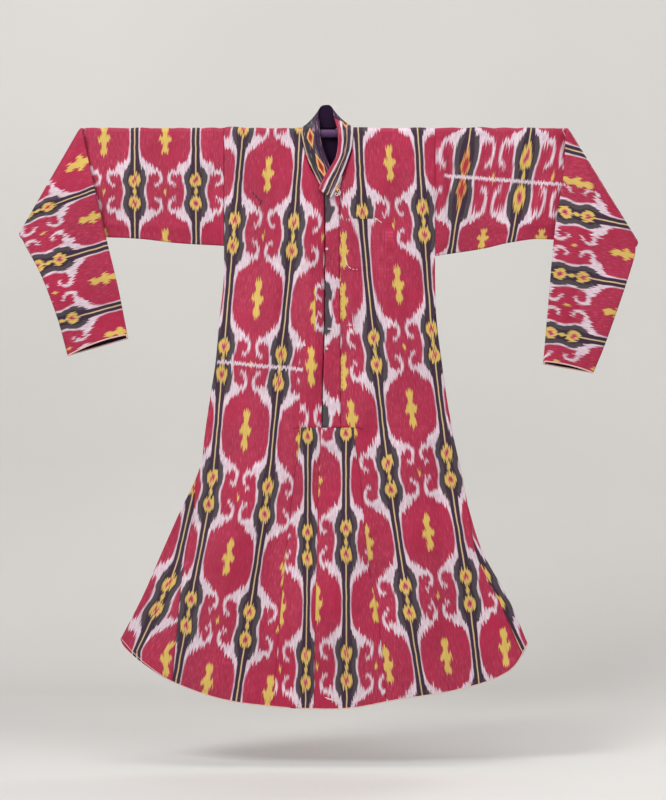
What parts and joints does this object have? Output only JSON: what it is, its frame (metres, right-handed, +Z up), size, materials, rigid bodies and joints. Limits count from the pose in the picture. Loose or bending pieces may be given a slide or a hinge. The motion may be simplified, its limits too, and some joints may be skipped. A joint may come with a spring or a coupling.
{
  "type": "ikat robe on a hanging rod",
  "caption": "Long warp-ikat robe with straight sleeves, a crossed collar and a long front slit, hung on a straight rod through both sleeves.",
  "frame": {"origin": "middle of the rod that the robe hangs on", "axes": "+Z up, +X along the rod to the viewer's right, -Y out of the front of the robe"},
  "size_m": [1.3277, 0.0748, 1.2963],
  "materials": {
    "ikat": "satin",
    "collar_cloth": "satin",
    "knot_cord": "matt",
    "button": "gloss",
    "rod_cloth": "satin"
  },
  "bodies": {
    "root": {"back": "ikat", "front_left": "ikat", "front_right": "ikat", "placket_band": "ikat", "inset_left": "ikat", "inset_right": "ikat", "gore_left_front": "ikat", "gore_left_back": "ikat", "gore_right_front": "ikat", "gore_right_back": "ikat", "sleeve_left_upper_front": "ikat", "sleeve_left_upper_back": "ikat", "sleeve_left_lower_front": "ikat", "sleeve_left_lower_back": "ikat", "sleeve_right_upper_front": "ikat", "sleeve_right_upper_back": "ikat", "sleeve_right_lower_front": "ikat", "sleeve_right_lower_back": "ikat", "collar_left": "collar_cloth", "collar_back": "collar_cloth", "collar_right": "collar_cloth", "collar_knot": "knot_cord", "button_1": "button", "button_2": "button", "rod": "rod_cloth"}
  },
  "joints": []
}
